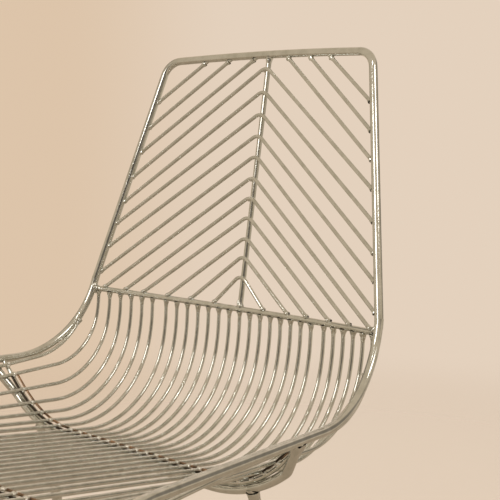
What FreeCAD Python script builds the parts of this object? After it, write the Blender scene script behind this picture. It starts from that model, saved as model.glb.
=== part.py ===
import FreeCAD
import Part
import math
import os

# Wire mesh side chair, millimetres. The chair faces -Y and +Z is up.
# Left and right in names are as seen from the front, so right is +X.
# The shell is laid out from the middle of the back cross wire, then moved to stand on the floor.
CROSS_HEIGHT = 522.0
CROSS_SETBACK = 223.25

# Rod sizes
RIM_D = 9.5
CROSS_D = 7.0
SPINE_D = 6.5
CHEVRON_D = 4.5
SEAT_D = 4.5
SUPPORT_D = 5.0
BASE_D = 10.0
LEG_D = 12.0

# Back panel
RECLINE = math.radians(11.1)
TOP_CENTRE = (57.1, 299.9)
TOP_BOW_RADIUS = 790.0
TOP_BOW_LEAN = math.radians(15.5)
TOP_CORNER = (152.7, 43.3, 299.9)
TOP_CORNER_R = 24.0
TOP_CORNER_RUN = 1.0
RAIL_KNEE = (215.4, -36.2, 17.7)
RAIL_KNEE_R = 107.0
CROSS_DROP = 1.0
CROSS_HALF = 217.0
CROSS_BOW = 40.0

# Seat side of the rim
HIP_CORNER = (222.5, -59.2, -71.4)
HIP_R = 116.0
DIP_CORNER = (245.8, -425.0, -47.6)
DIP_R = 100.0
FRONT_CORNER = (247.0, -505.0, -103.7)
FRONT_R = 38.0

# Chevron wires, heights along the back and where their left and right legs end
APEX_HEIGHTS = (287.0, 258.6, 231.7, 205.8, 180.5, 155.1, 131.3, 107.6, 82.6, 60.3, 37.0)
APEX_R = 11.0
RAIL_ENDS = ((145.2, 145.2), (113.8, 111.8), (86.5, 80.0), (57.0, 52.0), (23.4, 21.4))
CROSS_ENDS = ((204.0, 207.5), (175.3, 175.3), (150.0, 143.5), (114.7, 108.2), (79.7, 77.7), (43.4, 39.4))

# Straight wires above them, from the top bar to the rails
LEFT_DIAGONALS = ((89.3, 240.5), (53.5, 208.2), (14.7, 176.9))
RIGHT_DIAGONALS = ((85.8, 237.5), (56.0, 205.7), (23.2, 174.9))

# Seat wires
PITCH = 16.0
GROUP_GAP = 20.2
OUTER_PITCH = 15.3
CENTRAL_EACH_SIDE = 7
OUTER_EACH_SIDE = 6
TOE_IN = 0.03
START_ANGLE = math.radians(3.3)
START_RUN = 17.6
UPPER_R = 184.5
KNEE_ANGLE = math.radians(13.2)
LOWER_R = 114.0
FRONT_EDGE_R = 60.0
FRONT_EDGE_ANGLE = math.radians(56.9)
HALVINGS = 40

# Extra seat wire that leaves the rim just under the cross wire
EXTRA_START = (217.3, -58.0, -26.0)
EXTRA_ANGLE = math.radians(40.0)
EXTRA_KNEE_ANGLE = math.radians(60.0)
EXTRA_RUN = 14.0
EXTRA_CORNER_SHARE = 0.22

# Members under the seat
REAR_Y = -174.0
REAR_FLAT_Z = -133.1
REAR_TURN_X = 160.6
REAR_TURN_R = 120.0
REAR_BAR_POINTS = ((159.6, 150.0, -140.6), (203.0, 12.0, -104.0))
REAR_BAR_LEAN = 19.0
FRONT_Y = -395.0
FRONT_SUPPORT_POINTS = ((164.5, 500.0, -91.4), (226.0, 12.0, -77.65))
FRONT_BAR_POINTS = ((165.3, 507.5, -98.9), (230.0, 12.0, -84.4))

# Legs and glides
LEG_X = 160.0
FOOT_X = 196.0
REAR_FOOT_Y = -70.0
FRONT_FOOT_Y = -470.0
LEG_CLEARANCE = 3.0
GLIDE_D = 18.0
GLIDE_LENGTH = 20.0


def vec(x, y, z):
    return FreeCAD.Vector(x, y, z)


def mirrored(point):
    return vec(-point.x, point.y, point.z)


# The side to which the top bar's ends bow, forward and a little down
BOW_SIDE = vec(0, -math.cos(TOP_BOW_LEAN), -math.sin(TOP_BOW_LEAN))


def back_point(x, height, forward=0.0):
    """A point on the leaning back plane, height measured along the back."""
    y = height * math.sin(RECLINE) - forward * math.cos(RECLINE)
    z = height * math.cos(RECLINE) + forward * math.sin(RECLINE)
    return vec(x, y, z)


def corner_arc(before, corner, after, radius):
    """Start, middle and end of the fillet arc that replaces a corner."""
    a = (before - corner).normalize()
    b = (after - corner).normalize()
    turn = math.pi - a.getAngle(b)
    reach = radius * math.tan(turn / 2)
    middle = (a + b).normalize()
    centre = corner + middle * (radius / math.cos(turn / 2))
    return corner + a * reach, centre - middle * radius, corner + b * reach


def filleted_edges(points, radii):
    """Straight runs between points, with a tangent arc at each inner point."""
    edges = []
    here = points[0]
    for i, radius in enumerate(radii, start=1):
        start, middle, end = corner_arc(points[i - 1], points[i], points[i + 1], radius)
        if (start - here).Length > 0.01:
            edges.append(Part.LineSegment(here, start).toShape())
        edges.append(Part.Arc(start, middle, end).toShape())
        here = end
    edges.append(Part.LineSegment(here, points[-1]).toShape())
    return edges


def sweep(edges, diameter):
    """A round rod along tangent edges."""
    first = edges[0]
    start = first.valueAt(first.FirstParameter)
    direction = first.tangentAt(first.FirstParameter)
    ring = Part.Wire(Part.makeCircle(diameter / 2, start, direction))
    return Part.Wire(edges).makePipeShell([ring], True, False)


def biggest(shape):
    return max(shape.Solids, key=lambda s: s.Volume)


def butt(rod, *others):
    """Trim a rod where it meets the rods that it is welded to."""
    for other in others:
        rod = biggest(rod.cut(other))
    return rod


def top_bar_at(angle):
    """The middle of the bowed top bar, at an angle round the bow."""
    top = vec(0, TOP_CENTRE[0], TOP_CENTRE[1])
    return top + vec(TOP_BOW_RADIUS * math.sin(angle), 0, 0) + BOW_SIDE * (TOP_BOW_RADIUS * (1 - math.cos(angle)))


def right_half_rim():
    """Edges of the rim's middle line from the top to the front, and its top corner."""
    top = vec(0, TOP_CENTRE[0], TOP_CENTRE[1])
    corner = vec(*TOP_CORNER)
    knee = vec(*RAIL_KNEE)
    hip = vec(*HIP_CORNER)
    dip = vec(*DIP_CORNER)
    front = vec(*FRONT_CORNER)
    middle = vec(0, front.y, front.z)
    # The bowed top bar ends where its tangent runs into the corner
    side = (knee - corner).normalize()
    reach = TOP_CORNER_R * math.tan(side.getAngle(vec(1, 0, 0)) / 2)
    angle = math.asin((corner.x - reach) / TOP_BOW_RADIUS)

    bow_end = top_bar_at(angle)
    slope = vec(math.cos(angle), 0, 0) + BOW_SIDE * math.sin(angle)
    true_corner = bow_end + slope * (reach + TOP_CORNER_RUN)
    edges = [Part.Arc(top, top_bar_at(angle / 2), bow_end).toShape()]
    radii = (TOP_CORNER_R, RAIL_KNEE_R, HIP_R, DIP_R, FRONT_R)
    edges += filleted_edges([bow_end, true_corner, knee, hip, dip, front, middle], radii)
    return edges, true_corner


RIM_EDGES, RIM_CORNER = right_half_rim()
half = sweep(RIM_EDGES, RIM_D)
rim = half.fuse(half.mirror(vec(0, 0, 0), vec(1, 0, 0))).removeSplitter()
rim = biggest(rim)


def rim_at_height(z):
    """The middle of the straight back rail at a height above the cross wire."""
    knee = vec(*RAIL_KNEE)
    low, high = (vec(*HIP_CORNER), knee) if z < knee.z else (knee, RIM_CORNER)
    share = (z - low.z) / (high.z - low.z)
    return low + (high - low) * share


def rim_at_depth(y):
    """The middle of the straight seat rail at a distance in front of the back."""
    hip = vec(*HIP_CORNER)
    dip = vec(*DIP_CORNER)
    return hip + (dip - hip) * ((y - hip.y) / (dip.y - hip.y))


# Cross wire, an arc bowed forward at its ends
cross_radius = (CROSS_HALF ** 2 + CROSS_BOW ** 2) / (2 * CROSS_BOW)


def cross_at(x):
    bow = cross_radius - math.sqrt(cross_radius ** 2 - x * x)
    return back_point(x, -CROSS_DROP, bow)


cross_arc = Part.Arc(cross_at(-CROSS_HALF), cross_at(0), cross_at(CROSS_HALF)).toShape()
cross_wire = butt(sweep([cross_arc], CROSS_D), rim)

spine_line = Part.LineSegment(vec(0, 0, 0), vec(0, TOP_CENTRE[0], TOP_CENTRE[1])).toShape()
spine = butt(sweep([spine_line], SPINE_D), rim, cross_wire)

parts = {
    "rim_frame": [rim],
    "back_cross_wire": [cross_wire],
    "spine_wire": [spine],
}

# Chevron wires in front of the spine
apex_forward = (SPINE_D + CHEVRON_D) / 2 - 0.1
for i, height in enumerate(APEX_HEIGHTS):
    if i < len(RAIL_ENDS):
        left_z, right_z = RAIL_ENDS[i]
        left, right = mirrored(rim_at_height(left_z)), rim_at_height(right_z)
    else:
        left_x, right_x = CROSS_ENDS[i - len(RAIL_ENDS)]
        left, right = cross_at(-left_x), cross_at(right_x)
    apex = back_point(0, height, apex_forward)
    # Raise the sharp corner so that the rounded apex sits at the height
    half_angle = (left - apex).getAngle(right - apex) / 2
    lift = APEX_R * (1 / math.sin(half_angle) - 1)
    apex = back_point(0, height + lift, apex_forward)
    edges = filleted_edges([left, apex, right], [APEX_R])
    parts["chevron_wire_%02d" % (i + 1)] = [butt(sweep(edges, CHEVRON_D), rim, cross_wire)]

# Straight wires from the top bar to the side rails, above the chevrons
def diagonal_wire(x, z):
    line = Part.LineSegment(top_bar_at(math.asin(x / TOP_BOW_RADIUS)), rim_at_height(z)).toShape()
    return butt(sweep([line], CHEVRON_D), rim)


parts["diagonal_wires_right"] = [diagonal_wire(x, z) for x, z in RIGHT_DIAGONALS]
left_wires = [diagonal_wire(x, z) for x, z in LEFT_DIAGONALS]
parts["diagonal_wires_left"] = [wire.mirror(vec(0, 0, 0), vec(1, 0, 0)) for wire in left_wires]


# Supports under the seat
def bent_member(y, points, lean=0.0):
    """Flat in the middle, then rising on each side to the rim. Points are (x, radius, z)."""
    rail = rim_at_depth(y - lean)
    corners = [vec(x, y, z) for x, radius, z in points]
    radii = [radius for x, radius, z in points]
    right = corners + [rail]
    left = [mirrored(p) for p in reversed(right)]
    return filleted_edges(left + right, list(reversed(radii)) + radii)


rear_bar = butt(sweep(bent_member(REAR_Y, REAR_BAR_POINTS, REAR_BAR_LEAN), BASE_D), rim)
front_bar = butt(sweep(bent_member(FRONT_Y, FRONT_BAR_POINTS), BASE_D), rim)
rear_path = bent_member(REAR_Y, [(REAR_TURN_X, REAR_TURN_R, REAR_FLAT_Z)])
front_path = bent_member(FRONT_Y, FRONT_SUPPORT_POINTS)
rear_support = butt(sweep(rear_path, SUPPORT_D), rim, rear_bar)
front_support = butt(sweep(front_path, SUPPORT_D), rim, front_bar)
parts["rear_seat_support"] = [rear_support]
parts["front_seat_support"] = [front_support]
parts["rear_base_bar"] = [rear_bar]
parts["front_base_bar"] = [front_bar]

# Height of a seat wire that rests on the rear support
rest = (SEAT_D + SUPPORT_D) / 2 - 0.1
support_rail = rim_at_depth(REAR_Y)
support_angle = math.atan2(support_rail.z - REAR_FLAT_Z, support_rail.x - REAR_TURN_X)
flat_end = REAR_TURN_X - REAR_TURN_R * math.tan(support_angle / 2)


def resting_height(x):
    radius = REAR_TURN_R - rest
    if x <= flat_end:
        return REAR_FLAT_Z + rest
    if x <= flat_end + radius * math.sin(support_angle):
        return REAR_FLAT_Z + REAR_TURN_R - math.sqrt(radius ** 2 - (x - flat_end) ** 2)
    return REAR_FLAT_Z + (x - REAR_TURN_X) * math.tan(support_angle) + rest / math.cos(support_angle)


def seat_profile(start, end, scale, angle, run, upper_r, knee, lower_r):
    """Path of one seat wire as (along, height) points with the kind of each step."""
    far = math.hypot(end.x - start.x, end.y - start.y)
    run, upper_r, lower_r = run * scale, upper_r * scale, lower_r * scale
    a = (0.0, start.z)
    b = (run * math.sin(angle), a[1] - run * math.cos(angle))
    upper = (b[0] + upper_r * math.cos(angle), b[1] + upper_r * math.sin(angle))

    def on(centre, radius, at):
        return centre[0] - radius * math.cos(at), centre[1] - radius * math.sin(at)

    c = on(upper, upper_r, knee)
    lower = (c[0] + lower_r * math.cos(knee), c[1] + lower_r * math.sin(knee))
    edge = (
        far - FRONT_EDGE_R * math.sin(FRONT_EDGE_ANGLE),
        end.z - FRONT_EDGE_R * math.cos(FRONT_EDGE_ANGLE),
    )
    dx, dz = edge[0] - lower[0], edge[1] - lower[1]
    slope = math.atan2(dz, dx) + math.asin((lower_r + FRONT_EDGE_R) / math.hypot(dx, dz))
    leave = math.pi / 2 + slope
    d = on(lower, lower_r, leave)
    e = (edge[0] - FRONT_EDGE_R * math.sin(slope), edge[1] + FRONT_EDGE_R * math.cos(slope))
    turn = (FRONT_EDGE_ANGLE - slope) / 2
    f = (edge[0] + FRONT_EDGE_R * math.sin(turn), edge[1] + FRONT_EDGE_R * math.cos(turn))
    g = (far, end.z)
    steps = [("line", a, b), ("arc", b, on(upper, upper_r, (angle + knee) / 2), c)]
    steps += [("arc", c, on(lower, lower_r, (knee + leave) / 2), d), ("line", d, e), ("arc", e, f, g)]
    return steps, d, slope


def seat_edges(start, end, steps):
    far = math.hypot(end.x - start.x, end.y - start.y)
    ux, uy = (end.x - start.x) / far, (end.y - start.y) / far

    def place(p):
        return vec(start.x + ux * p[0], start.y + uy * p[0], p[1])

    edges = []
    for step in steps:
        points = [place(p) for p in step[1:]]
        if (points[-1] - points[0]).Length < 0.01:
            continue
        if step[0] == "line":
            edges.append(Part.LineSegment(*points).toShape())
        else:
            edges.append(Part.Arc(*points).toShape())
    return edges


def height_at(start, end, shape, y):
    """Height of a seat wire's straight run at a distance in front of the back."""
    steps, leave, slope = shape
    far = math.hypot(end.x - start.x, end.y - start.y)
    along = (start.y - y) * far / (start.y - end.y)
    return leave[1] + (along - leave[0]) * math.tan(slope)


def regular_wire(x, rank):
    """A seat wire from the cross wire to the front bar, resting on the rear support."""
    start = cross_at(x)
    last = CENTRAL_EACH_SIDE + OUTER_EACH_SIDE + 1
    toe = TOE_IN * math.sin(math.pi * rank / last)
    end = vec(x + toe * (FRONT_CORNER[1] - start.y), FRONT_CORNER[1], FRONT_CORNER[2])
    x_rear = x + toe * (REAR_Y - start.y)
    wanted = resting_height(x_rear)
    low, high = 0.3, 1.3
    for _ in range(HALVINGS):
        scale = (low + high) / 2
        shape = seat_profile(start, end, scale, START_ANGLE, START_RUN, UPPER_R, KNEE_ANGLE, LOWER_R)
        if height_at(start, end, shape, REAR_Y) > wanted:
            low = scale
        else:
            high = scale
    return start, end, shape[0]


def extra_wire():
    """The outermost seat wire, from the rim to the rounded front corner."""
    start = vec(*EXTRA_START)
    arc = RIM_EDGES[-2]
    span = arc.LastParameter - arc.FirstParameter
    end = arc.valueAt(arc.LastParameter - span * EXTRA_CORNER_SHARE)
    x_rear = start.x + (end.x - start.x) * (REAR_Y - start.y) / (end.y - start.y)
    wanted = resting_height(x_rear)
    low, high = 20.0, 200.0
    for _ in range(HALVINGS):
        radius = (low + high) / 2
        shape = seat_profile(start, end, 1.0, EXTRA_ANGLE, EXTRA_RUN, radius, EXTRA_KNEE_ANGLE, radius)
        if height_at(start, end, shape, REAR_Y) > wanted:
            low = radius
        else:
            high = radius
    return start, end, shape[0]


right_seat_wires = []
for rank in range(CENTRAL_EACH_SIDE + OUTER_EACH_SIDE + 2):
    if rank <= CENTRAL_EACH_SIDE:
        x = rank * PITCH
    else:
        x = CENTRAL_EACH_SIDE * PITCH + GROUP_GAP + (rank - CENTRAL_EACH_SIDE - 1) * OUTER_PITCH
    if rank <= CENTRAL_EACH_SIDE + OUTER_EACH_SIDE:
        start, end, steps = regular_wire(x, rank)
    else:
        start, end, steps = extra_wire()
    rod = butt(sweep(seat_edges(start, end, steps), SEAT_D), cross_wire, rim, rear_bar)
    right_seat_wires.append(rod)

total = len(right_seat_wires) - 1
for rank, rod in enumerate(right_seat_wires):
    parts["seat_wire_%02d" % (total + 1 + rank)] = [rod]
    if rank:
        parts["seat_wire_%02d" % (total + 1 - rank)] = [rod.mirror(vec(0, 0, 0), vec(1, 0, 0))]


# Legs, cut off square to the floor inside their glides
def bar_height(points, x):
    """Height of a base bar's middle line where a leg is welded on."""
    (turn_x, radius, flat_z), (next_x, _, next_z) = points
    angle = math.atan2(next_z - flat_z, next_x - turn_x)
    begin = turn_x - radius * math.tan(angle / 2)
    if x <= begin:
        return flat_z
    return flat_z + radius - math.sqrt(radius ** 2 - (x - begin) ** 2)


def leg_and_glide(y, points, foot_y, bar):
    top = vec(LEG_X, y, bar_height(points, LEG_X))
    foot = vec(FOOT_X, foot_y, -CROSS_HEIGHT)
    down = (foot - top).normalize()
    box = Part.makeBox(200, 200, 60, vec(FOOT_X - 100, foot_y - 100, -CROSS_HEIGHT - 60 + LEG_CLEARANCE))
    floor = Part.makeBox(200, 200, 60, vec(FOOT_X - 100, foot_y - 100, -CROSS_HEIGHT - 60))
    long_line = Part.LineSegment(top, foot + down * 20).toShape()
    leg = butt(sweep([long_line], LEG_D).cut(box), bar)
    sleeve = Part.LineSegment(foot - down * GLIDE_LENGTH, foot + down * 20).toShape()
    glide = biggest(sweep([sleeve], GLIDE_D).cut(floor).cut(leg))
    return leg, glide


for name, y, points, foot_y, bar in (
    ("rear", REAR_Y, REAR_BAR_POINTS, REAR_FOOT_Y, rear_bar),
    ("front", FRONT_Y, FRONT_BAR_POINTS, FRONT_FOOT_Y, front_bar),
):
    leg, glide = leg_and_glide(y, points, foot_y, bar)
    parts["leg_%s_right" % name] = [leg]
    parts["leg_%s_left" % name] = [leg.mirror(vec(0, 0, 0), vec(1, 0, 0))]
    parts["foot_glide_%s_right" % name] = [glide]
    parts["foot_glide_%s_left" % name] = [glide.mirror(vec(0, 0, 0), vec(1, 0, 0))]

os.makedirs("parts", exist_ok=True)
for name, solids in parts.items():
    shape = solids[0] if len(solids) == 1 else Part.makeCompound(solids)
    shape = shape.copy()
    shape.translate(vec(0, CROSS_SETBACK, CROSS_HEIGHT))
    shape.exportStep("parts/%s.step" % name)
    print(name, shape.isValid(), len(shape.Solids), "%.0f" % shape.Volume)
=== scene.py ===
import math

import bmesh
import bpy
from mathutils import Matrix, Vector, noise


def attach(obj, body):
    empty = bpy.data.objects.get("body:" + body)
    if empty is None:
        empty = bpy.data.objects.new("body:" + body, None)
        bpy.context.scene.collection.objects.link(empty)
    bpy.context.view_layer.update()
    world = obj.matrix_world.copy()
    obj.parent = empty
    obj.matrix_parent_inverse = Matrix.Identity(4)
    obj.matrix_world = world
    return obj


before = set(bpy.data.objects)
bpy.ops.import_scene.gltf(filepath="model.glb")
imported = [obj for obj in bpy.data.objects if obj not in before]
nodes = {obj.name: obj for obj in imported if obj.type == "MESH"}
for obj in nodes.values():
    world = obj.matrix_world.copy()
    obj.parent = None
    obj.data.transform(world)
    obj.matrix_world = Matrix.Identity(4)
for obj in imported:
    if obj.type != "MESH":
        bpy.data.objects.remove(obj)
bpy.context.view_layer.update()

X_AXIS = Vector((1, 0, 0))
Y_AXIS = Vector((0, 1, 0))
Z_AXIS = Vector((0, 0, 1))

# Camera, solved for the photo's 500 pixel square frame
CAMERA_POSITION = Vector((0.71999, -0.63479, 0.74254))
CAMERA_YAW = math.radians(39.382)
CAMERA_PITCH = math.radians(7.654)
CAMERA_ROLL = math.radians(-0.106)
FOCAL_PIXELS = 955.53
FRAME_PIXELS = 500.0
SENSOR_MM = 36.0
CLIP_START = 0.02

# Rod radii, metres
RIM_R = 0.00475
CROSS_R = 0.0035
SPINE_R = 0.00325
WIRE_R = 0.00225
BASE_R = 0.005
LEG_R = 0.006

# How many V wires there are, how many of those end on the rails, and how many seat wires
CHEVRONS = 11
RAIL_CHEVRONS = 5
SEAT_WIRES = 29

# Where the seat supports lie along the seat
REAR_STATION = 0.04925
FRONT_STATION = -0.17175

# Colours of the backdrop and of the room that the metal reflects; the backdrop's left side is darker as
# painted shade
WALL_RIGHT = (0.775, 0.638, 0.510, 1.0)
WALL_LEFT = (0.722, 0.555, 0.402, 1.0)
FLOOR = (0.775, 0.638, 0.510, 1.0)
# Darker paper that reflections see: painted shade of the floor
FLOOR_PAINTED_SHADE = (0.42, 0.33, 0.235, 1.0)
ROOM = (0.59, 0.485, 0.355, 1.0)
ROOM_BELOW = (0.27, 0.21, 0.15, 1.0)
SHADE = (0.25, 0.21, 0.165, 1.0)
STAND = (0.035, 0.032, 0.028, 1.0)
DAYLIGHT = (0.92, 0.91, 0.89, 1.0)

# Colours of the chair
STEEL = (0.72, 0.73, 0.70)
STEEL_DARK = (0.60, 0.61, 0.57)
# Lighter steel for the spot welds at the supports: a painted highlight
STEEL_HIGHLIGHT = (0.95, 0.94, 0.90)
# Brown of the strip above each support: a painted reflection of the support's top
PAINTED_REFLECTION_BROWN = (0.42, 0.27, 0.17)
# Near-black: painted shade in front of each support, and the dark patches in the brown strip's painted
# reflection
PAINTED_DARK = (0.06, 0.05, 0.04)
GLIDE = (0.035, 0.034, 0.033)
GLIDE_DARK = 0.7
GLIDE_LIGHT = 1.4

# Flat directions along the camera's line of sight and to its right
AHEAD = Vector((-math.sin(CAMERA_YAW), math.cos(CAMERA_YAW), 0))
RIGHT = Vector((math.cos(CAMERA_YAW), math.sin(CAMERA_YAW), 0))

# Sockets of the colour mix node
MIX_FIRST = 6
MIX_SECOND = 7
MIX_COLOUR = 2


# Materials
def new_material(name):
    material = bpy.data.materials.new(name)
    material.use_nodes = True
    tree = material.node_tree
    return material, tree, tree.nodes["Principled BSDF"]


def add(tree, kind, **settings):
    """A new node, with properties and inputs set by name; an underscore stands for a space."""
    node = tree.nodes.new(kind)
    for key, value in settings.items():
        if hasattr(node, key):
            setattr(node, key, value)
        else:
            node.inputs[key.replace("_", " ")].default_value = value
    return node


def surface_noise(tree, scale, detail):
    """Noise fixed to the piece."""
    place = add(tree, "ShaderNodeTexCoord")
    texture = add(tree, "ShaderNodeTexNoise", Scale=scale, Detail=detail)
    tree.links.new(place.outputs["Object"], texture.inputs["Vector"])
    return texture.outputs["Fac"]


def two_tones(tree, value, start, dark, end, light):
    """A colour that goes from dark to light as the value goes from start to end."""
    tone = add(tree, "ShaderNodeValToRGB")
    for element, position, colour in zip(tone.color_ramp.elements, (start, end), (dark, light)):
        element.position = position
        element.color = (*colour, 1)
    tree.links.new(value, tone.inputs["Fac"])
    return tone.outputs["Color"]


def rough_skin(tree, shader, value, strength, height):
    """Relief from a noise."""
    bump = add(tree, "ShaderNodeBump", Strength=strength, Distance=height)
    tree.links.new(value, bump.inputs["Height"])
    tree.links.new(bump.outputs["Normal"], shader.inputs["Normal"])


def mixed(tree, share, first, second):
    """A mix of two colours, each written as a value or taken from another node."""
    mix = add(tree, "ShaderNodeMix", data_type="RGBA")
    tree.links.new(share, mix.inputs["Factor"])
    for socket, value in ((mix.inputs[MIX_FIRST], first), (mix.inputs[MIX_SECOND], second)):
        if isinstance(value, tuple):
            socket.default_value = value
        else:
            tree.links.new(value, socket)
    return mix.outputs[MIX_COLOUR]


def plated_steel(name, wave_height, gloss=(0.07, 0.20), tones=(STEEL_DARK, STEEL)):
    """Bright plating over drawn wire: slight waves, uneven gloss and faint dull patches; the spot welds'
    lighter tone is a painted highlight, and the support strips' tones are painted reflection and painted
    shade.
    """
    material, tree, shader = new_material(name)
    shader.inputs["Metallic"].default_value = 1.0

    if tones[0] == tones[1]:
        shader.inputs["Base Color"].default_value = (*tones[0], 1)
    else:
        patches = surface_noise(tree, scale=90.0, detail=3.0)
        colour = two_tones(tree, patches, 0.30, tones[0], 0.62, tones[1])
        tree.links.new(colour, shader.inputs["Base Color"])

    smears = surface_noise(tree, scale=240.0, detail=2.0)
    polish = add(tree, "ShaderNodeMapRange", From_Min=0.3, From_Max=0.7, To_Min=gloss[0], To_Max=gloss[1])
    tree.links.new(smears, polish.inputs["Value"])
    tree.links.new(polish.outputs["Result"], shader.inputs["Roughness"])

    waves = surface_noise(tree, scale=330.0, detail=1.5)
    rough_skin(tree, shader, waves, strength=1.0, height=wave_height)
    return material


def matte_plastic(name):
    """Moulded plastic with a fine grain."""
    material, tree, shader = new_material(name)
    grain = surface_noise(tree, scale=1500.0, detail=2.0)
    dark = [GLIDE_DARK * c for c in GLIDE]
    light = [GLIDE_LIGHT * c for c in GLIDE]
    tree.links.new(two_tones(tree, grain, 0.0, dark, 1.0, light), shader.inputs["Base Color"])
    shader.inputs["Roughness"].default_value = 0.55
    rough_skin(tree, shader, grain, strength=0.5, height=0.0002)
    return material


WIRE_METAL = plated_steel("plated_wire", wave_height=0.00006)
ROD_METAL = plated_steel("plated_rod", wave_height=0.00008)
WELD_METAL = plated_steel("plated_weld", wave_height=0.0005)
# The spot welds: rougher weld metal, with a lighter steel as painted highlight
SPOT_WELD_HIGHLIGHT_METAL = plated_steel("spot_weld_highlight", 0.0003, gloss=(0.25, 0.38), tones=(STEEL, STEEL_HIGHLIGHT))
# A brown strip broken by near-black patches: painted reflection
PAINTED_REFLECTION_METAL = plated_steel("bare_seam", 0.0003, gloss=(0.25, 0.40), tones=(PAINTED_DARK, PAINTED_REFLECTION_BROWN))
# A near-black strip: painted shade in front of each support
PAINTED_SHADE_METAL = plated_steel("scorched_seam", 0.0003, gloss=(0.30, 0.45), tones=(PAINTED_DARK, PAINTED_DARK))
PLASTIC = matte_plastic("glide_plastic")

THICK_RODS = ("rim_frame", "rear_base_bar", "front_base_bar")


def dress(node, material):
    node.data.materials.clear()
    node.data.materials.append(material)
    for face in node.data.polygons:
        face.use_smooth = True


for name, node in nodes.items():
    if name.startswith("foot_glide"):
        dress(node, PLASTIC)
    elif name in THICK_RODS or name.startswith("leg_"):
        dress(node, ROD_METAL)
    else:
        dress(node, WIRE_METAL)


# Where the rods end and cross, read from the frame's own meshes
TIP_STEP = 0.006
AXIS_STEP = 0.008
CUT_REACH = 0.015
SAME_CORNER = 1e-5


def cut_middle(name, point, normal, reach=CUT_REACH):
    """Middle of a rod where a plane cuts it near a point."""
    shape = bmesh.new()
    shape.from_mesh(nodes[name].data)
    everything = shape.verts[:] + shape.edges[:] + shape.faces[:]
    cut = bmesh.ops.bisect_plane(shape, geom=everything, plane_co=point, plane_no=normal)["geom_cut"]
    marks = [v.co.copy() for v in cut if isinstance(v, bmesh.types.BMVert)]
    shape.free()
    closest = min(marks, key=lambda p: (p - point).length)
    near = [p for p in marks if (p - closest).length < reach]
    low = Vector([min(p[i] for p in near) for i in range(3)])
    high = Vector([max(p[i] for p in near) for i in range(3)])
    return (low + high) / 2


def loose_parts(name):
    """Corner positions of each separate rod in a node, the lowest rod first."""
    shape = bmesh.new()
    shape.from_mesh(nodes[name].data)
    bmesh.ops.remove_doubles(shape, verts=shape.verts, dist=SAME_CORNER)
    left = set(shape.verts)
    found = []
    while left:
        front = [left.pop()]
        group = []
        while front:
            vertex = front.pop()
            group.append(vertex.co.copy())
            for edge in vertex.link_edges:
                other = edge.other_vert(vertex)
                if other in left:
                    left.remove(other)
                    front.append(other)
        found.append(group)
    shape.free()
    return sorted(found, key=lambda group: min(p.z for p in group))


def rod_end(name, outward, corners=None):
    """A point inside a rod near its end on one side, and the rod's direction there, outward."""
    corners = corners or [v.co for v in nodes[name].data.vertices]
    tip = max(corners, key=lambda p: p.dot(outward))
    first = cut_middle(name, tip - outward * TIP_STEP, outward)
    second = cut_middle(name, first - outward * AXIS_STEP, outward)
    return first, (first - second).normalized()


def joint_root(first, direction, rod, rod_direction):
    """Where a rod's line passes the middle of the rod that it is welded to."""
    middle = cut_middle(rod, first + direction * TIP_STEP, rod_direction)
    return first + direction * (middle - first).dot(direction)


def seat_wire(number):
    return "seat_wire_%02d" % number


def chevron_wire(number):
    return "chevron_wire_%02d" % number


# Collars, from inside the rod to just under the wire's skin
COLLAR_RING = 20
COLLAR_STEPS = 9
COLLAR_BURIED = 0.3
COLLAR_CURVE = 1.6
COLLAR_LUMP = 0.003
COLLAR_END = 0.9

# Beads, and the strips of painted reflection and painted shade that follow the supports
BEAD_LUMP = 0.0025
STRIP_RING = 20
STRIP_LUMP = 0.004
STRIP_SWELL = 0.25
# Where the strip of painted reflection lies beside each support, and how thick it is
PAINTED_REFLECTION_SIDE = Vector((0, 0.0040, -0.0004))
PAINTED_REFLECTION_R = 0.0014
# Where the strip of painted shade lies beside each support, and how thick it is
PAINTED_SHADE_SIDE = Vector((0, -0.0042, -0.0006))
PAINTED_SHADE_R = 0.0016

# Squared ends of the base bars
TAB_STEPS = 14
TAB_RING = 32
TAB_LENGTH = 0.019
TAB_SIDE = 1.03
TAB_START = 1.01
TAB_CORNER = 1.33
TAB_SQUARING = 3.0


def across(direction):
    """Two directions square to one direction and to each other."""
    side = direction.cross(Y_AXIS if abs(direction.y) < 0.9 else X_AXIS).normalized()
    return side, direction.cross(side)


def round_directions(count, side, up, offset=0.0):
    """Evenly turned directions in the plane of side and up."""
    turns = [2 * math.pi * (k + offset) / count for k in range(count)]
    return [side * math.cos(turn) + up * math.sin(turn) for turn in turns]


def uneven(point, size, seed):
    return noise.noise(point / size + Vector((seed * 7.3, seed * 3.1, 0)))


def tube(shape, rings):
    """A skin over rings of points, open at both ends."""
    rows = [[shape.verts.new(p) for p in ring] for ring in rings]
    for low, high in zip(rows, rows[1:]):
        for i in range(len(low)):
            j = (i + 1) % len(low)
            shape.faces.new((low[i], low[j], high[j], high[i]))


def collar(shape, root, away, rod_r, wire_r, flare, length, lumps, seed):
    """The weld metal that runs from a rod down a wire, thick at the rod and thin at its end."""
    side, up = across(away)
    rings = []
    for step in range(COLLAR_STEPS + 1):
        share = step / COLLAR_STEPS
        reach = rod_r * (1 - COLLAR_BURIED) + (rod_r * COLLAR_BURIED + length) * share
        spread = max(0.0, 1 - max(0.0, reach - rod_r) / length)
        radius = wire_r * (1.0 + (flare - 1.0) * spread ** COLLAR_CURVE)
        middle = root + away * reach
        ring = []
        for out in round_directions(COLLAR_RING, side, up):
            swell = 1 + lumps * spread * uneven(middle + out * radius, COLLAR_LUMP, seed)
            ring.append(middle + out * (radius * swell))
        rings.append(ring)
    end = root + away * (rod_r + length)
    rings.append([end + (p - end) * COLLAR_END for p in rings[-1]])
    tube(shape, rings)


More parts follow.
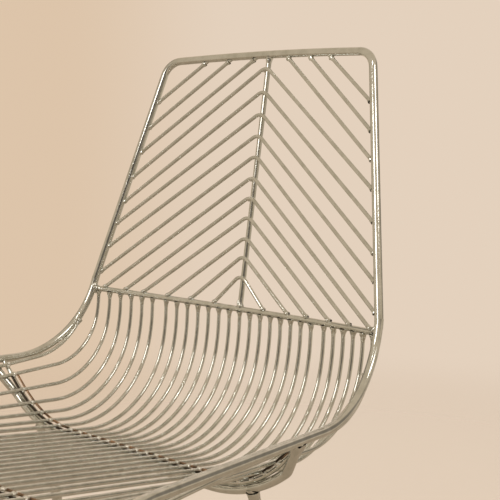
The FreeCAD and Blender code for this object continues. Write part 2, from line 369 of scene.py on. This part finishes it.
def bead(shape, middle, along, radii, lumps, seed):
    """A lump of weld metal, radii along and across its direction."""
    side, up = across(along)
    made = bmesh.ops.create_icosphere(shape, subdivisions=3, radius=1.0)["verts"]
    for vertex in made:
        c = vertex.co.copy()
        place = along * (c.x * radii[0]) + side * (c.y * radii[1]) + up * (c.z * radii[2])
        swell = 1 + lumps * uneven(middle + place, BEAD_LUMP, seed)
        vertex.co = middle + place * swell


def welds(name, build, *details, material=WELD_METAL):
    """One object for what build adds to a mesh: weld metal, a strip of painted reflection or a strip of
    painted shade.
    """
    shape = bmesh.new()
    build(shape, *details)
    bmesh.ops.recalc_face_normals(shape, faces=shape.faces)
    for face in shape.faces:
        face.smooth = True
    data = bpy.data.meshes.new(name)
    shape.to_mesh(data)
    shape.free()
    data.materials.append(material)
    piece = bpy.data.objects.new(name, data)
    bpy.context.scene.collection.objects.link(piece)
    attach(piece, "root")


def seat_top_welds(shape):
    for number in range(1, SEAT_WIRES + 1):
        first, up = rod_end(seat_wire(number), Z_AXIS)
        if number in (1, SEAT_WIRES):
            root = joint_root(first, up, "rim_frame", Z_AXIS)
            collar(shape, root, -up, RIM_R, WIRE_R, flare=1.5, length=0.006, lumps=0.25, seed=number)
        else:
            root = joint_root(first, up, "back_cross_wire", X_AXIS)
            length = 0.0075 + 0.0015 * math.sin(number * 2.4)
            collar(shape, root, -up, CROSS_R, WIRE_R, flare=1.75, length=length, lumps=0.3, seed=number)


def chevron_end_welds(shape):
    for number in range(1, CHEVRONS + 1):
        for side in (-1, 1):
            first, out = rod_end(chevron_wire(number), X_AXIS * side)
            on_rail = number <= RAIL_CHEVRONS
            rod, rod_r = ("rim_frame", RIM_R) if on_rail else ("back_cross_wire", CROSS_R)
            root = joint_root(first, out, rod, Z_AXIS if on_rail else X_AXIS)
            seed = number + 40 * side
            collar(shape, root, -out, rod_r, WIRE_R, flare=1.35, length=0.0045, lumps=0.25, seed=seed)
            if not on_rail:
                middle = root - out * (CROSS_R + 0.0012) - Y_AXIS * 0.0012
                radii = (0.0030, 0.0026, 0.0026)
                bead(shape, middle, out, radii, lumps=0.25, seed=number + 60 * side)


def diagonal_end_welds(shape):
    for name, side in (("diagonal_wires_left", -1), ("diagonal_wires_right", 1)):
        for rank, corners in enumerate(loose_parts(name)):
            first, up = rod_end(name, Z_AXIS, corners)
            root = joint_root(first, up, "rim_frame", X_AXIS)
            seed = rank + 20 * side
            collar(shape, root, -up, RIM_R, WIRE_R, flare=1.45, length=0.0050, lumps=0.25, seed=seed)
            first, out = rod_end(name, X_AXIS * side, corners)
            root = joint_root(first, out, "rim_frame", Z_AXIS)
            seed = rank + 30 * side
            collar(shape, root, -out, RIM_R, WIRE_R, flare=1.35, length=0.0045, lumps=0.25, seed=seed)


def front_edge_welds(shape):
    for number in range(1, SEAT_WIRES + 1):
        first, out = rod_end(seat_wire(number), -Y_AXIS)
        root = joint_root(first, out, "rim_frame", X_AXIS)
        collar(shape, root, -out, RIM_R, WIRE_R, flare=1.45, length=0.0050, lumps=0.25, seed=number + 90)


def spine_welds(shape):
    """Collars at both ends of the spine, a lump at its foot and metal behind each V wire's point."""
    first, up = rod_end("spine_wire", Z_AXIS)
    root = joint_root(first, up, "rim_frame", X_AXIS)
    collar(shape, root, -up, RIM_R, SPINE_R, flare=1.4, length=0.0065, lumps=0.2, seed=1)
    first, down = rod_end("spine_wire", -Z_AXIS)
    root = joint_root(first, down, "back_cross_wire", X_AXIS)
    collar(shape, root, -down, CROSS_R, SPINE_R, flare=1.25, length=0.0050, lumps=0.2, seed=2)
    front_left = Vector((-0.6, -0.8, 0))
    foot = root - down * 0.0075 + front_left * 0.0026
    bead(shape, foot, down, (0.0040, 0.0022, 0.0022), lumps=0.2, seed=3)
    behind = Vector((0, 0.0026, 0.0004))
    point_width = 0.004
    for number in range(1, CHEVRONS + 1):
        corners = [v.co for v in nodes[chevron_wire(number)].data.vertices]
        low = min((p for p in corners if abs(p.x) < point_width), key=lambda p: p.z)
        bead(shape, low + behind, X_AXIS, (0.0026, 0.0016, 0.0020), lumps=0.3, seed=number + 10)


def cross_wire_welds(shape):
    """A collar and two heavy beads at each end of the cross wire."""
    for side in (-1, 1):
        first, out = rod_end("back_cross_wire", X_AXIS * side)
        root = joint_root(first, out, "rim_frame", Z_AXIS)
        collar(shape, root, -out, RIM_R, CROSS_R, flare=1.5, length=0.0070, lumps=0.35, seed=5 + side)
        for rank, height in enumerate((0.0035, -0.0030)):
            middle = root - out * (RIM_R - 0.0003) + Vector((0, -0.0022, height))
            seed = 8 + side + 3 * rank
            bead(shape, middle, Z_AXIS, (0.0042, 0.0030, 0.0030), lumps=0.4, seed=seed)


def crossing(number, station):
    """Middle of a seat wire where it rests on a support."""
    return cut_middle(seat_wire(number), Y_AXIS * station, Y_AXIS, math.inf)


def support_welds(shape, station):
    """Beads beside and round each seat wire where it rests on a support."""
    for number in range(1, SEAT_WIRES + 1):
        middle = crossing(number, station)
        for side, size in ((1, 1.0), (-1, 0.8)):
            place = middle + Vector((0.0016 * side, -0.0020 * side, -0.0021))
            radii = (0.0026 * size, 0.0022 * size, 0.0018 * size)
            bead(shape, place, X_AXIS, radii, lumps=0.35, seed=number + 50 * side)
        bead(shape, middle, Y_AXIS, (0.0026, 0.0031, 0.0030), lumps=0.2, seed=number + 130)


def painted_support_strip(shape, station, offset, radius):
    """A strip that follows a support past all the seat wires but the outermost; it carries the painted
    reflection above a support and the painted shade in front of it.
    """
    middles = [crossing(number, station) for number in range(2, SEAT_WIRES)]
    middles.sort(key=lambda p: p.x)
    rings = []
    for rank, middle in enumerate(middles):
        ring = []
        for out in round_directions(STRIP_RING, Y_AXIS, Z_AXIS):
            swell = 1 + STRIP_SWELL * uneven(middle + out * radius, STRIP_LUMP, rank)
            ring.append(middle + offset + out * (radius * swell))
        rings.append(ring)
    tube(shape, rings)


def bar_end_welds(shape, name):
    """The squeezed, square ends with which a base bar is welded under the rim."""
    for side in (-1, 1):
        corners = [v.co for v in nodes[name].data.vertices if v.co.x * side > 0]
        first, up = rod_end(name, Z_AXIS, corners)
        root = joint_root(first, up, "rim_frame", Y_AXIS)
        along_rim = (Y_AXIS - up * up.y).normalized()
        out = up.cross(along_rim)
        rings = []
        for step in range(TAB_STEPS + 1):
            share = step / TAB_STEPS
            point = root - up * (TAB_LENGTH * (1 - share) + RIM_R * 0.5 * share)
            square = min(1.0, share * TAB_SQUARING)
            ring = []
            for spoke in round_directions(TAB_RING, X_AXIS, Y_AXIS, offset=0.5):
                to_side = 1 / max(abs(spoke.x), abs(spoke.y))
                radius = BASE_R * (TAB_START + square * (min(to_side, TAB_CORNER) * TAB_SIDE - 1))
                ring.append(point + along_rim * (spoke.x * radius) + out * (spoke.y * radius))
            rings.append(ring)
        tube(shape, rings)


def leg_welds(shape):
    for name, bar in (("leg_rear", "rear_base_bar"), ("leg_front", "front_base_bar")):
        for side in ("left", "right"):
            first, up = rod_end("%s_%s" % (name, side), Z_AXIS)
            root = joint_root(first, up, bar, X_AXIS)
            seed = len(name + side)
            collar(shape, root, -up, BASE_R, LEG_R, flare=1.18, length=0.0060, lumps=0.15, seed=seed)


welds("seat_top_welds", seat_top_welds)
welds("chevron_end_welds", chevron_end_welds)
welds("diagonal_end_welds", diagonal_end_welds)
welds("spine_welds", spine_welds)
welds("cross_wire_welds", cross_wire_welds)
welds("front_edge_welds", front_edge_welds)
for where, station in (("rear", REAR_STATION), ("front", FRONT_STATION)):
    support = where + "_support_"
    welds(support + "welds", support_welds, station, material=SPOT_WELD_HIGHLIGHT_METAL)
    # Strips of painted reflection and painted shade along the support
    welds(support + "seam", painted_support_strip, station, PAINTED_REFLECTION_SIDE, PAINTED_REFLECTION_R, material=PAINTED_REFLECTION_METAL)
    welds(support + "painted_shade", painted_support_strip, station, PAINTED_SHADE_SIDE, PAINTED_SHADE_R, material=PAINTED_SHADE_METAL)
welds("rear_bar_ends", bar_end_welds, "rear_base_bar")
welds("front_bar_ends", bar_end_welds, "front_base_bar")
welds("leg_welds", leg_welds)


# Floor that fades into the backdrop; reflections see it darker, as painted shade
FLOOR_HALF = 6.0
FADE_START = 0.5
FADE_END = 2.2


def make_floor():
    mesh = bmesh.new()
    bmesh.ops.create_grid(mesh, x_segments=2, y_segments=2, size=FLOOR_HALF)
    data = bpy.data.meshes.new("floor")
    mesh.to_mesh(data)
    mesh.free()
    floor = bpy.data.objects.new("floor", data)
    bpy.context.scene.collection.objects.link(floor)

    material, tree, shader = new_material("floor_paper")
    shader.inputs["Roughness"].default_value = 0.9
    shader.inputs["Specular IOR Level"].default_value = 0.1
    path = add(tree, "ShaderNodeLightPath")
    # Reflections see the darker paper: painted shade
    paper_with_painted_shade = mixed(tree, path.outputs["Is Glossy Ray"], FLOOR, FLOOR_PAINTED_SHADE)
    tree.links.new(paper_with_painted_shade, shader.inputs["Base Color"])

    place = add(tree, "ShaderNodeTexCoord")
    far = add(tree, "ShaderNodeVectorMath", operation="LENGTH")
    tree.links.new(place.outputs["Object"], far.inputs[0])
    fade = add(tree, "ShaderNodeMapRange", interpolation_type="SMOOTHSTEP",
               From_Min=FADE_START, From_Max=FADE_END)
    tree.links.new(far.outputs["Value"], fade.inputs["Value"])
    clear = add(tree, "ShaderNodeBsdfTransparent")
    mix = add(tree, "ShaderNodeMixShader")
    tree.links.new(fade.outputs["Result"], mix.inputs["Fac"])
    tree.links.new(shader.outputs["BSDF"], mix.inputs[1])
    tree.links.new(clear.outputs["BSDF"], mix.inputs[2])
    tree.links.new(mix.outputs["Shader"], tree.nodes["Material Output"].inputs["Surface"])
    data.materials.append(material)


make_floor()


# Backdrop for the camera, darker towards the left as painted shade, and a dim room with darker patches
# for reflections
def heading(azimuth, elevation):
    """A direction by its azimuth to the right of the line of sight and its elevation, in degrees."""
    turn, rise = math.radians(azimuth), math.radians(elevation)
    flat = AHEAD * math.cos(turn) + RIGHT * math.sin(turn)
    return flat * math.cos(rise) + Z_AXIS * math.sin(rise)


# A patch begins at the first cosine to its direction and is full at the second
WALL_TURN = (RIGHT, -0.20, 0.0)
WALL_PATCH = (heading(12, 0), 0.50, 0.85)
BELOW_PATCH = (-Z_AXIS, 0.30, 0.75)
BAND_FROM = (Z_AXIS, -0.22, -0.08)
BAND_TO = (-Z_AXIS, -0.42, -0.20)
BAND_SIDE = (-AHEAD, 0.45, 0.80)
DARK_PATCHES = (
    (heading(70, 14), 0.90, 0.975, SHADE),
    (heading(-42, 24), 0.93, 0.985, SHADE),
    (heading(-167, 7), 0.980, 0.992, STAND),
)


def make_world():
    world = bpy.data.worlds.new("studio")
    bpy.context.scene.world = world
    world.use_nodes = True
    tree = world.node_tree
    place = add(tree, "ShaderNodeTexCoord")

    def along(direction, start, full):
        dot = add(tree, "ShaderNodeVectorMath", operation="DOT_PRODUCT")
        tree.links.new(place.outputs["Generated"], dot.inputs[0])
        dot.inputs[1].default_value = direction
        share = add(tree, "ShaderNodeMapRange", interpolation_type="SMOOTHSTEP",
                    From_Min=start, From_Max=full)
        tree.links.new(dot.outputs["Value"], share.inputs["Value"])
        return share.outputs["Result"]

    def product(first, second):
        times = add(tree, "ShaderNodeMath", operation="MULTIPLY")
        tree.links.new(first, times.inputs[0])
        tree.links.new(second, times.inputs[1])
        return times.outputs["Value"]

    # The backdrop darkens towards the left: painted shade
    wall = mixed(tree, along(*WALL_TURN), WALL_LEFT, WALL_RIGHT)
    room = mixed(tree, along(*WALL_PATCH), ROOM, wall)
    room = mixed(tree, along(*BELOW_PATCH), room, ROOM_BELOW)
    band = product(along(*BAND_FROM), along(*BAND_TO))
    room = mixed(tree, product(band, along(*BAND_SIDE)), room, SHADE)
    for direction, start, full, colour in DARK_PATCHES:
        room = mixed(tree, along(direction, start, full), room, colour)
    path = add(tree, "ShaderNodeLightPath")
    lit = mixed(tree, path.outputs["Is Diffuse Ray"], room, DAYLIGHT)
    seen = mixed(tree, path.outputs["Is Camera Ray"], lit, wall)
    tree.links.new(seen, tree.nodes["Background"].inputs["Color"])


make_world()

# Lamps
LIGHT_TARGET = Vector((0, 0, 0.55))
LIGHT_DISTANCE = 2.8
WARM_WHITE = (1.0, 0.97, 0.93)


def soft_light(name, direction, size, power):
    data = bpy.data.lights.new(name, "AREA")
    data.shape = "RECTANGLE"
    data.size, data.size_y = size
    data.energy = power
    data.color = WARM_WHITE
    light = bpy.data.objects.new(name, data)
    bpy.context.scene.collection.objects.link(light)
    light.location = LIGHT_TARGET + direction * LIGHT_DISTANCE
    light.rotation_mode = "QUATERNION"
    light.rotation_quaternion = direction.to_track_quat("Z", "Y")
    light.visible_camera = False


soft_light("panel_left", heading(-137, 32), size=(0.85, 1.0), power=13.0)
soft_light("panel_right", heading(132, 38), size=(0.55, 0.8), power=7.5)
soft_light("lamp_small", heading(-160, 55), size=(0.22, 0.22), power=2.5)


def make_camera():
    ahead = AHEAD * math.cos(CAMERA_PITCH) - Z_AXIS * math.sin(CAMERA_PITCH)
    up = RIGHT.cross(ahead)
    right = RIGHT * math.cos(CAMERA_ROLL) + up * math.sin(CAMERA_ROLL)
    up = right.cross(ahead)
    data = bpy.data.cameras.new("camera")
    data.sensor_width = SENSOR_MM
    data.lens = SENSOR_MM * FOCAL_PIXELS / FRAME_PIXELS
    data.clip_start = CLIP_START
    camera = bpy.data.objects.new("camera", data)
    bpy.context.scene.collection.objects.link(camera)
    turn = Matrix((right, up, -ahead)).transposed()
    camera.matrix_world = Matrix.Translation(CAMERA_POSITION) @ turn.to_4x4()
    bpy.context.scene.camera = camera


make_camera()
bpy.context.scene.view_settings.view_transform = "Standard"
